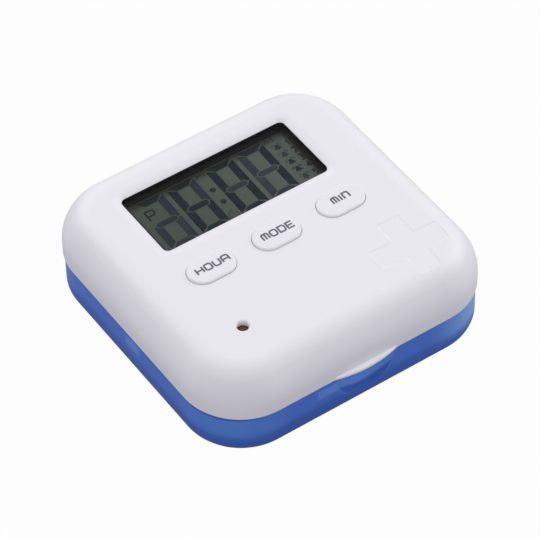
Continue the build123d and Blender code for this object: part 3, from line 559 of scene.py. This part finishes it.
FINISHES["silicone_grey"] = soft("silicone_grey", (0.55, 0.55, 0.56), 0.5, 2500.0, 0.000004, 0.3)
FINISHES["carbon_black"] = soft("carbon_black", (0.02, 0.02, 0.02), 0.75, 4000.0, 0.000006)
FINISHES["wire_red"] = soft("wire_red", (0.55, 0.02, 0.015), 0.4, 3000.0, 0.000004)
FINISHES["wire_black"] = soft("wire_black", (0.02, 0.02, 0.02), 0.4, 3000.0, 0.000004)
FINISHES["foam_black"] = foam_black()
FINISHES["silicone_pink"] = layered_silicone()
FINISHES["board_green"] = board_green()
FINISHES["led_amber"] = led_amber()
FINISHES["coil_dark"] = coil_dark()
print("finishes", len(FINISHES))

# %% [markdown]
# ## Dress the frame
# Each CAD node keeps its mesh and gets the finish that its slot in the record names.

# %% Dress the frame
SLOT_OF = {row["node"]: row["material_slot"] for row in frame["record"]["subparts"]}
for node_name, piece in NODES.items():
    finish = FINISHES[SLOT_OF[node_name]].material
    for place in piece.material_slots:
        place.material = finish
    if not piece.material_slots:
        piece.data.materials.append(finish)
print("dressed", len(SLOT_OF))

# %% [markdown]
# ## Flat shapes
# The display's figures and the words on the buttons are prints a few hundredths of a millimetre
# thick. Each is a plate: an outline in plan, a low face, a high face and a thin wall between
# them. A stroke is an outline too: the points on both sides of a path, half a width away.


# %% Plates and strokes
class Sheet:
    """Collects plates and makes one mesh of them, with a shade from 0 to 1 for each."""

    def __init__(self):
        self.points = []
        self.faces = []
        self.shades = []
        self.count = 0

    def plate(self, outline, low, high, dark=1.0):
        """A prism: the outline at low, again at high, and one wall face for each side."""
        outline = np.asarray(outline, float)
        if area(outline) < 0:
            outline = outline[::-1]
        n = len(outline)
        start = self.count
        for level in (low, high):
            self.points.append(np.c_[outline, np.full(n, level)])
        ring = np.arange(n)
        after = (ring + 1) % n
        self.faces.append(tuple(start + ring[::-1]))
        self.faces.append(tuple(start + n + ring))
        walls = np.c_[ring, after, after + n, ring + n] + start
        self.faces.extend(map(tuple, walls))
        self.shades.extend([dark] * (2 * n))
        self.count += 2 * n

    def stroke(self, path, width, low, high, dark=1.0):
        """A line of even width; it is a ring where the path ends at its own start."""
        path = np.asarray(path, float)
        ring = np.allclose(path[0], path[-1])
        if ring:
            path = path[:-1]
        left, right = sides(path, width / 2, ring)
        n = len(path)
        for level in (low, high):
            self.points.append(np.c_[left, np.full(n, level)])
            self.points.append(np.c_[right, np.full(n, level)])
        i = np.arange(n if ring else n - 1)
        j = (i + 1) % n
        l_low, r_low, l_high, r_high = (self.count + n * k for k in range(4))
        top = np.c_[r_high + i, r_high + j, l_high + j, l_high + i]
        bottom = np.c_[l_low + i, l_low + j, r_low + j, r_low + i]
        right_wall = np.c_[r_low + i, r_low + j, r_high + j, r_high + i]
        left_wall = np.c_[l_low + j, l_low + i, l_high + i, l_high + j]
        self.faces.extend(map(tuple, np.vstack([top, bottom, right_wall, left_wall])))
        if not ring:
            e = n - 1
            self.faces.append((l_low, r_low, r_high, l_high))
            self.faces.append((r_low + e, l_low + e, l_high + e, r_high + e))
        self.shades.extend([dark] * (4 * n))
        self.count += 4 * n

    def build(self, name, finish, body):
        """One mesh of all plates, which moves with the body and carries the finish."""
        mesh = bpy.data.meshes.new(name)
        mesh.from_pydata((np.concatenate(self.points) * MM).tolist(), [], self.faces)
        shade_layer = mesh.attributes.new("shade", "FLOAT", "POINT")
        shade_layer.data.foreach_set("value", np.asarray(self.shades, np.float32))
        mesh.update()
        piece = bpy.data.objects.new(name, mesh)
        bpy.context.scene.collection.objects.link(piece)
        mesh.materials.append(finish.material)
        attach(piece, body)
        print(name, "faces", len(mesh.polygons))


def area(outline):
    """Signed area by the shoelace sum; positive when the outline runs anticlockwise."""
    x, y = outline.T
    return 0.5 * float(np.sum(x * np.roll(y, -1) - y * np.roll(x, -1)))


def sides(path, half, ring):
    """The path's points moved to its left and right: half a width over the cosine of half the turn."""
    first = path[-1] if ring else 2 * path[0] - path[1]
    last = path[0] if ring else 2 * path[-1] - path[-2]
    steps = np.diff(np.vstack([first, path, last]), axis=0)
    steps /= np.linalg.norm(steps, axis=1, keepdims=True)
    along = steps[:-1] + steps[1:]
    along /= np.linalg.norm(along, axis=1, keepdims=True)
    reach = half / np.maximum(0.6, np.sum(along * steps[1:], axis=1))
    across = np.c_[-along[:, 1], along[:, 0]] * reach[:, None]
    return path + across, path - across


def arc(centre, radius, start, end, count=8):
    """Points on a circle: centre + radius times (cos, sin) of even angles from start to end."""
    turn = np.radians(np.linspace(start, end, count))
    return np.c_[centre[0] + radius * np.cos(turn), centre[1] + radius * np.sin(turn)]


def capsule(a, b, radius, count):
    """The outline of a stick with round ends: a half circle about each end."""
    a, b = np.asarray(a, float), np.asarray(b, float)
    way = math.degrees(math.atan2(b[1] - a[1], b[0] - a[0]))
    far_end = arc(b, radius, way - 90, way + 90, count)
    near_end = arc(a, radius, way + 90, way + 270, count)
    return np.vstack([far_end, near_end])


print("plates ready")

# %% [markdown]
# ## Display figures
# Four large digits of up to seven segments each, a colon, five bells and small letters, all in
# millimetres. On the real display some segments are darker than others, because the film is seen
# at a slant. A digit leans a little, so every x grows with y by a small share.

# %% Digit segments
INK_LOW = 24.205
INK_HIGH = 24.225
MIDDLE_Y = 18.2
TOP_Y = 27.6
BOTTOM_Y = 9.0
STROKE = 2.2
BAR = 1.9
LEAN = 0.02
DIGIT_W = 8.2
CAPSULE_R = 0.9
CAPSULE_END = 1.1
GAP = 0.13
RING_GAP = 0.26
COLON_X = -2.95
COLON_R = 0.82


def lean(outline):
    """Moves each point sideways by LEAN times its height over the middle line."""
    outline = np.asarray(outline, float)
    return np.c_[outline[:, 0] + LEAN * (outline[:, 1] - MIDDLE_Y), outline[:, 1]]


def upright(reach):
    """A side segment, x from its outer edge and y from the middle: notched round the capsule."""
    notch = arc((CAPSULE_END + CAPSULE_R, 0), CAPSULE_R + RING_GAP, 174, 77, 10)
    return np.vstack([[(0, GAP)], notch, [(STROKE, reach - BAR - GAP), (0, reach - 0.62)]])


def crossbar(reach):
    """A top segment, x from the digit's middle and y from the middle line: a mitred bar."""
    outer = DIGIT_W / 2 - 0.42
    inner = DIGIT_W / 2 - STROKE - 0.12
    return np.array([(-outer, reach), (outer, reach), (inner, reach - BAR), (-inner, reach - BAR)])


def digit(sheet, left, shades):
    """Seven outlines, named a to g as usual: a on top, then clockwise, and g in the middle."""
    centre = left + DIGIT_W / 2
    up, down = TOP_Y - MIDDLE_Y, MIDDLE_Y - BOTTOM_Y
    inset = CAPSULE_END + CAPSULE_R
    middle = capsule((left + inset, 0), (left + DIGIT_W - inset, 0), CAPSULE_R, 12)
    shapes = {
        "a": crossbar(up) + (centre, 0),
        "b": upright(up) * (-1, 1) + (left + DIGIT_W, 0),
        "c": upright(down) * (-1, -1) + (left + DIGIT_W, 0),
        "d": crossbar(down) * (1, -1) + (centre, 0),
        "e": upright(down) * (1, -1) + (left, 0),
        "f": upright(up) + (left, 0),
        "g": middle,
    }
    for key, dark in shades.items():
        sheet.plate(lean(shapes[key] + (0, MIDDLE_Y)), INK_LOW, INK_HIGH, dark)


DIGITS = [
    (-22.65, dict(a=0.78, b=0.6, c=0.54, d=0.5, e=0.58, g=0.6)),
    (-13.1, dict(a=0.95, b=0.54, c=0.9, d=0.86, e=0.95, f=0.95, g=0.97)),
    (-1.15, dict(a=0.9, b=0.95, c=0.95, d=0.84, e=0.97, f=0.95, g=0.5)),
    (8.35, dict(a=0.66, b=0.92, c=0.88, d=0.48, e=0.48, f=0.52, g=0.48)),
]
figures = Sheet()
for left, shades in DIGITS:
    digit(figures, left, shades)
for colon_y in (20.7, 15.8):
    figures.plate(arc((COLON_X, colon_y), COLON_R, 0, 345, 24), INK_LOW, INK_HIGH, 0.8)
print("plates", len(figures.points) // 2)

# %% [markdown]
# ## Letters, numbers and bells
# Small marks are plain strokes. A letter is a list of paths on a grid one unit wide and one
# high, so the same letters serve the display and the buttons.

# %% Small marks
def soft_box(radius, turns):
    """A path round a unit square: turns lists corners, rounded by radius, or sharp where it is 0."""
    corners = {"tr": (1, 1, 0), "tl": (0, 1, 90), "bl": (0, 0, 180), "br": (1, 0, 270)}
    path = []
    for key, rounded in turns:
        x, y, start = corners[key]
        r = radius if rounded else 0.0
        centre = (x + r * (1 - 2 * x), y + r * (1 - 2 * y))
        path.append(arc(centre, r, start, start + 90, 6) if rounded else np.array([(x, y)], float))
    return np.vstack(path)


CLOSED_BOX = soft_box(0.3, [("tr", 1), ("tl", 1), ("bl", 1), ("br", 1)])
LETTERS = {
    "H": [[(0, 0), (0, 1)], [(1, 0), (1, 1)], [(0, 0.5), (1, 0.5)]],
    "O": [np.vstack([CLOSED_BOX, CLOSED_BOX[:1]])],
    "U": [soft_box(0.28, [("tl", 0), ("bl", 1), ("br", 1), ("tr", 0)])],
    "R": [soft_box(0.25, [("br", 0), ("tr", 1), ("tl", 1), ("bl", 0)]), [(0, 0.42), (1, 0.42)]],
    "M": [soft_box(0.25, [("br", 0), ("tr", 1), ("tl", 1), ("bl", 0)]), [(0.5, 0), (0.5, 1)]],
    "D": [np.vstack([soft_box(0.32, [("bl", 0), ("br", 1), ("tr", 1), ("tl", 0)]), [(0, 0)]])],
    "E": [[(1, 1), (0, 1), (0, 0), (1, 0)], [(0, 0.5), (0.9, 0.5)]],
    "I": [[(0.5, 0), (0.5, 1)]],
    "N": [soft_box(0.28, [("br", 0), ("tr", 1), ("tl", 0), ("bl", 0)])],
    "P": [[(0, 0), (0, 1)], np.vstack([[(0, 1)], arc((0.7, 0.73), 0.27, 90, -90), [(0, 0.46)]])],
    "m": [[(0, 0), (0, 1), (0.5, 0.25), (1, 1), (1, 0)]],
    "1": [[(0.2, 0.75), (0.6, 1), (0.6, 0)]],
    "2": [np.vstack([arc((0.5, 0.7), 0.42, 165, -35), [(0.05, 0), (1, 0)]])],
    "3": [arc((0.45, 0.75), 0.34, 150, -80), arc((0.45, 0.27), 0.37, 80, -150)],
    "4": [[(0.75, 0), (0.75, 1)], [(0.75, 0.95), (0.05, 0.3), (1, 0.3)]],
    "5": [np.vstack([[(0.9, 1), (0.15, 1), (0.12, 0.55)], arc((0.48, 0.33), 0.37, 120, -150)])],
}
print("letters", "".join(LETTERS))

# %% [markdown]
# A word is its letters' strokes, one after another, and a bell is one outline with a clapper and
# two faint marks on each side. Each bell has its number at its right, and below the colon there
# is a small clock: a ring with two hands and a bar over it.


# %% Words and bells
def write(sheet, text, left, low, width, height, gap, stroke, level, dark=1.0, slant=0.0):
    """Each letter's paths, scaled to width by height; where two cross, the later one lies lower."""
    for letter in text:
        wide = 0.0 if letter == "I" else width
        for number, path in enumerate(LETTERS[letter]):
            path = np.asarray(path, float)
            x = left + path[:, 0] * wide
            y = low + path[:, 1] * height
            top = level[1] - 0.003 * number
            bottom = level[0] + 0.001 * number
            sheet.stroke(np.c_[x + slant * (y - low), y], stroke, bottom, top, dark)
        left += wide + gap


def bell(sheet, x, y, dark):
    """A bell: its half width grows from the crown down as a square root, then flares at the rim."""
    drop = np.linspace(0, 1, 11)
    half = 0.8 * np.sqrt(drop * (2 - drop)) + 0.42 * drop ** 5
    side = np.c_[half, 1.05 - 1.7 * drop]
    outline = np.vstack([side, (side * (-1, 1))[::-1]])
    sheet.plate(outline + (x, y), INK_LOW, INK_HIGH, dark)
    sheet.plate(arc((x, y - 0.73), 0.34, 180, 360), INK_LOW, INK_HIGH, dark)
    for way in (-1, 1):
        for far, faint in ((1.3, 0.6), (1.65, 0.45)):
            mark = arc((x, y - 0.1), far, 90 - way * 70, 90 - way * 22, 5)
            sheet.stroke(mark, 0.2, INK_LOW, INK_HIGH, dark * faint)


INK = (INK_LOW, INK_HIGH)
BELL_X = 19.35
NUMBER_X = 21.9
BELLS = [(23.8, 0.6, 0.7), (20.6, 0.5, 0.7), (17.45, 0.85, 0.85), (14.3, 0.9, 0.85), (11.1, 0.5, 0.7)]
CLOCK = (-3.3, 10.5)
CLOCK_DARK = 0.35

write(figures, "P", -21.8, 20.65, 2.5, 3.35, 0, 0.5, INK, 0.95)
write(figures, "H", -3.85, 26.1, 2.0, 1.7, 0, 0.36, INK, 0.5)
write(figures, "m", 17.2, 26.15, 2.2, 1.75, 0, 0.34, INK, 0.5, 0.3)
for number, (bell_y, bell_dark, number_dark) in enumerate(BELLS, 1):
    bell(figures, BELL_X, bell_y, bell_dark)
    write(figures, str(number), NUMBER_X, bell_y - 1.0, 1.15, 1.9, 0, 0.46, INK, number_dark)
figures.stroke(arc(CLOCK, 1.25, 0, 360, 25), 0.24, INK_LOW, INK_HIGH, CLOCK_DARK)
figures.stroke([(-3.3, 11.3), CLOCK, (-2.8, 10.1)], 0.2, INK_LOW, INK_HIGH, CLOCK_DARK)
figures.stroke([(-3.75, 12.2), (-2.85, 12.2)], 0.32, INK_LOW, INK_HIGH, CLOCK_DARK)


def ink_finish():
    """From the film's colour over a violet grey to blue-black, as the shade goes from 0 to 1."""
    finish = Finish("lcd_ink", (0.01, 0.012, 0.016), 0.45, Specular_IOR_Level=0.2)
    dark = finish.node("ShaderNodeAttribute", {"attribute_name": "shade"}, out="Fac")
    cloud = finish.noise(300.0, 2.0)
    stops = [(0.0, FILM), (0.55, (0.042, 0.056, 0.082)), (1.0, (0.012, 0.0265, 0.034))]
    uneven = {"Fac": dark + (cloud - 0.5) * 0.16}
    colour = finish.node("ShaderNodeValToRGB", {"stops": stops}, uneven)
    finish.set("Base Color", finish.mix(frame_shadow(finish), colour, FRAME_SHADE))
    return finish


figures.build("display_figures", ink_finish(), "lid")

# %% [markdown]
# ## Words on the buttons
# Each button has its plain function word printed on its cap in grey ink.

# %% Button words
CAP_TOP = 27.75
LABEL_LEVEL = (CAP_TOP + 0.001, CAP_TOP + 0.012)
LABEL_H = 2.0
LABEL_STROKE = 0.5


def label_finish():
    """Grey ink, a little uneven, as pad printing is."""
    finish = Finish("label_grey", (0.11, 0.11, 0.14), 0.5)
    cloud = finish.noise(1800.0, 2.0)
    finish.set("Base Color", finish.mix(cloud, (0.075, 0.075, 0.10), (0.13, 0.13, 0.17)))
    finish.set("Roughness", cloud * 0.2 + 0.4)
    return finish


LABEL = label_finish()
WORDS = [
    ("hour", -23.9, -4.45, 1.82, 0.72),
    ("mode", -3.95, -4.35, 1.75, 0.72),
    ("min", 17.68, -4.1, 1.6, 0.88),
]
for button, left, low, width, gap in WORDS:
    words = Sheet()
    write(words, button.upper(), left, low, width, LABEL_H, gap, LABEL_STROKE, LABEL_LEVEL)
    words.build(button + "_word", LABEL, button + "_button")

# %% [markdown]
# ## Silicone domes
# Under each button a soft dome buckles when the cap goes down, and pushes it back. It is turned
# from a profile: foot, thin flank, thick top.


# %% Domes
def turned(name, profile, centre, finish, count=64):
    """A profile of (radius, height) carried round a circle; both ends lie on the axis."""
    profile = np.asarray(profile, float)
    turn = np.linspace(0, 2 * np.pi, count, endpoint=False)
    ring = profile[1:-1]
    x = centre[0] + ring[:, :1] * np.cos(turn)
    y = centre[1] + ring[:, :1] * np.sin(turn)
    z = np.repeat(ring[:, 1:], count, axis=1)
    points = np.stack([x, y, z], axis=-1).reshape(-1, 3)
    poles = [(*centre, profile[0, 1]), (*centre, profile[-1, 1])]
    points = np.vstack([points, poles])
    pole = len(ring) * count
    base, j = np.meshgrid(np.arange(len(ring) - 1) * count, np.arange(count), indexing="ij")
    k = (j + 1) % count
    quads = np.stack([base + j, base + count + j, base + count + k, base + k], axis=-1)
    around = np.arange(count)
    after = (around + 1) % count
    first = np.c_[around, after, np.full(count, pole)]
    last = np.c_[after, around, np.full(count, 0)] + (pole - count)
    last[:, 2] = pole + 1
    faces = quads.reshape(-1, 4).tolist() + first.tolist() + last.tolist()
    mesh = bpy.data.meshes.new(name)
    mesh.from_pydata((points * MM).tolist(), [], faces)
    mesh.polygons.foreach_set("use_smooth", np.ones(len(mesh.polygons), bool))
    mesh.update()
    piece = bpy.data.objects.new(name, mesh)
    bpy.context.scene.collection.objects.link(piece)
    mesh.materials.append(finish.material)
    return piece


BOARD_TOP = 21.4
BUTTON_Y = -3.8
BUTTON_X = {"hour": -19.75, "mode": 0.0, "min": 19.75}
DOME_TOP = 2.385  # a hair under the cap, which lies 2.4 mm over the board
DOME_ROOF = 1.715  # a hair over the contact pill
FOOT_TOP = 0.6


def dome_profile():
    """Top, outer flank, foot, inner flank and roof; each flank is a line plus a small sine bulge."""
    flank = np.linspace(0, 1, 9)
    bulge = 0.12 * np.sin(np.pi * flank)
    top = [(0, DOME_TOP), (1.2, DOME_TOP), (2.2, DOME_TOP - 0.015)]
    outer = np.c_[2.5 + 0.9 * flank + bulge, DOME_TOP - (DOME_TOP - FOOT_TOP) * flank]
    foot = [(4.3, FOOT_TOP), (4.4, FOOT_TOP - 0.1), (4.4, 0.0)]
    inner = np.c_[2.9 - 0.9 * flank + bulge[::-1], DOME_ROOF * flank]
    return np.vstack([top, outer, foot, inner, [(0, DOME_ROOF)]]) + (0, BOARD_TOP)


for button, x in BUTTON_X.items():
    dome = turned(button + "_soft_dome", dome_profile(), (x, BUTTON_Y), FINISHES["silicone_grey"])
    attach(dome, "lid")
    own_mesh(dome)
    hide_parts(button + "_dome")
    print(dome.name, len(dome.data.polygons))

# %% [markdown]
# ## Floor and light
# The room is even and pale, as in a photographer's light tent, and five soft lamps shape it: two
# behind the box, two at its right and one at the front left. Their powers were fitted to the
# brightness of the white lid, point by point. The table is grey to the light, so that the walls
# get darker towards their foot, and white to the camera.


# %% Floor and light
WHITE = (1.0, 1.0, 1.0, 1.0)
HALF_TABLE = 3.0
TABLE_GAP = 0.00002  # keeps the table a hair under the box, so that the two faces don't flicker


def make_floor():
    """A wide sheet at the box's underside: grey to the light, white to the camera."""
    mesh = bpy.data.meshes.new("table")
    low = CAD_BOX[0][2] - TABLE_GAP
    corners = [(HALF_TABLE * x, HALF_TABLE * y, low) for x, y in ((-1, -1), (1, -1), (1, 1), (-1, 1))]
    mesh.from_pydata(corners, [], [(0, 1, 2, 3)])
    table = bpy.data.objects.new("table", mesh)
    bpy.context.scene.collection.objects.link(table)
    finish = Finish("table_white", (0.44, 0.43, 0.465), 0.8)
    glow = finish.node("ShaderNodeEmission", None, {"Color": WHITE, "Strength": 1.0})
    path = finish.node("ShaderNodeLightPath").socket.node
    through = Wire(finish, path.outputs["Is Transmission Ray"]) * 0.5
    seen = Wire(finish, path.outputs["Is Camera Ray"]) * 0.97
    finish.blend(seen + through, finish.shader.outputs[0], glow.socket)
    mesh.materials.append(finish.material)


def soft_lamp(name, place, size, watts):
    """A white square area lamp at place, turned to face the box."""
    data = bpy.data.lights.new(name, "AREA")
    data.shape = "SQUARE"
    data.size = size
    data.energy = watts
    lamp = bpy.data.objects.new(name, data)
    bpy.context.scene.collection.objects.link(lamp)
    lamp.location = place
    lamp.rotation_euler = (-Vector(place)).to_track_quat("-Z", "Y").to_euler()


def light_room():
    """An even grey room, seen as white by the camera."""
    world = bpy.data.worlds.new("room")
    bpy.context.scene.world = world
    world.use_nodes = True
    nodes, links = world.node_tree.nodes, world.node_tree.links
    shine = nodes["Background"]
    shine.inputs["Color"].default_value = (0.99, 0.975, 1.02, 1.0)
    shine.inputs["Strength"].default_value = 0.59
    white = nodes.new("ShaderNodeBackground")
    white.inputs["Color"].default_value = WHITE
    white.inputs["Strength"].default_value = 1.0
    path = nodes.new("ShaderNodeLightPath")
    blend = nodes.new("ShaderNodeMixShader")
    links.new(path.outputs["Is Camera Ray"], blend.inputs[0])
    links.new(shine.outputs[0], blend.inputs[1])
    links.new(white.outputs[0], blend.inputs[2])
    links.new(blend.outputs[0], nodes["World Output"].inputs["Surface"])


LAMPS = [
    ("high_back_lamp", (-0.3, 1.0, 0.95), 0.7, 3.9),
    ("high_front_lamp", (-0.8, -0.55, 1.0), 0.9, 2.3),
    ("high_right_lamp", (0.95, 0.1, 0.95), 0.8, 2.8),
    ("low_back_lamp", (0.1, 1.0, 0.45), 0.7, 1.3),
    ("low_right_lamp", (1.0, -0.1, 0.5), 0.7, 3.0),
]
make_floor()
light_room()
for name, place, size, watts in LAMPS:
    soft_lamp(name, place, size, watts)
bpy.context.scene.view_settings.view_transform = "Standard"
